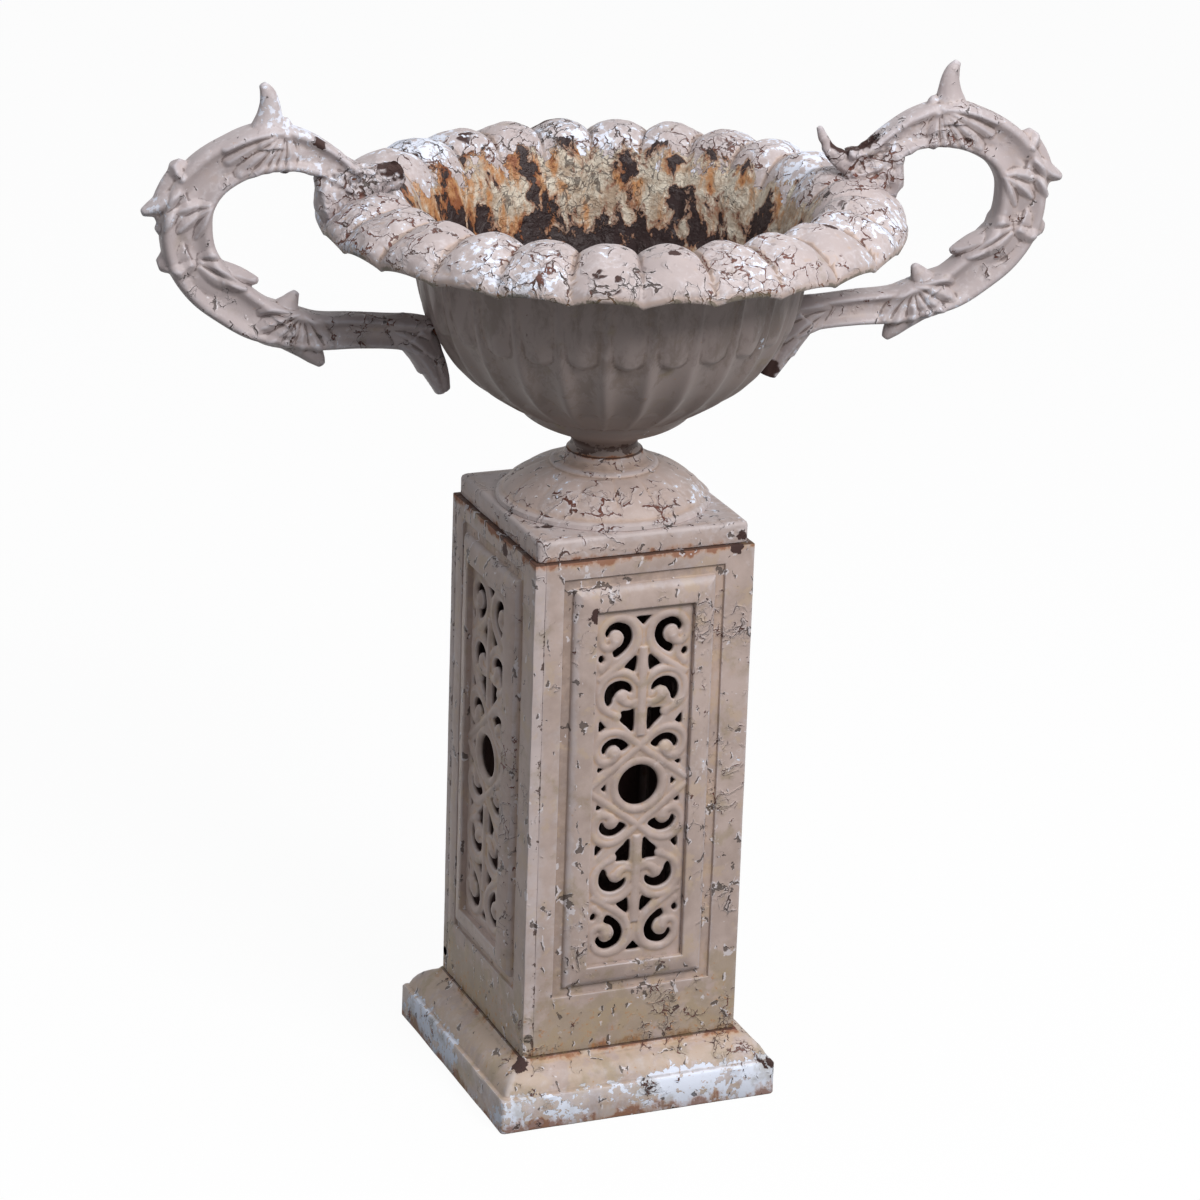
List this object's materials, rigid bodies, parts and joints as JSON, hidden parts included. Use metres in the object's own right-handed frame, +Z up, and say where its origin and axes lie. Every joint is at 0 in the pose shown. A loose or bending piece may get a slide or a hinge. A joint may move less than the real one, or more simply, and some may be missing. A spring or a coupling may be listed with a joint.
{
  "type": "garden urn on pedestal",
  "caption": "Cast-iron garden urn with a lobed rolled rim and scrolled leafy handles, standing on a square pedestal with pierced scroll panels.",
  "frame": {"origin": "on the floor under the middle of the square base", "axes": "+Z up; the front panel faces -Y; the handles lie along X, turned a few degrees about Z with the bowl"},
  "size_m": [0.7568, 0.472, 0.857],
  "materials": {
    "painted_iron": "old crackled oil paint in dusty pinkish taupe, chalky where worn, with rust at seams and edges",
    "rusted_steel": "dark rust"
  },
  "bodies": {
    "pedestal": {"pedestal_base": "painted_iron", "front_panel": "painted_iron", "right_panel": "painted_iron", "back_panel": "painted_iron", "left_panel": "painted_iron", "corner_screws": "rusted_steel", "corner_pins": "painted_iron", "base_bolts": "rusted_steel", "base_washers": "rusted_steel", "base_nuts": "rusted_steel"},
    "urn": {"urn_foot": "painted_iron", "bowl": "painted_iron", "left_handle": "painted_iron", "right_handle": "painted_iron", "upper_handle_bolts": "rusted_steel", "upper_handle_nuts": "rusted_steel", "lower_handle_bolts": "rusted_steel", "stem_bolt": "rusted_steel", "stem_washers": "rusted_steel", "stem_nut": "rusted_steel"}
  },
  "joints": [
    {"name": "urn_lift", "type": "slide", "parent": "pedestal", "child": "urn", "axis": [0, 0, 1], "range_m": [0, 0.12]}
  ]
}
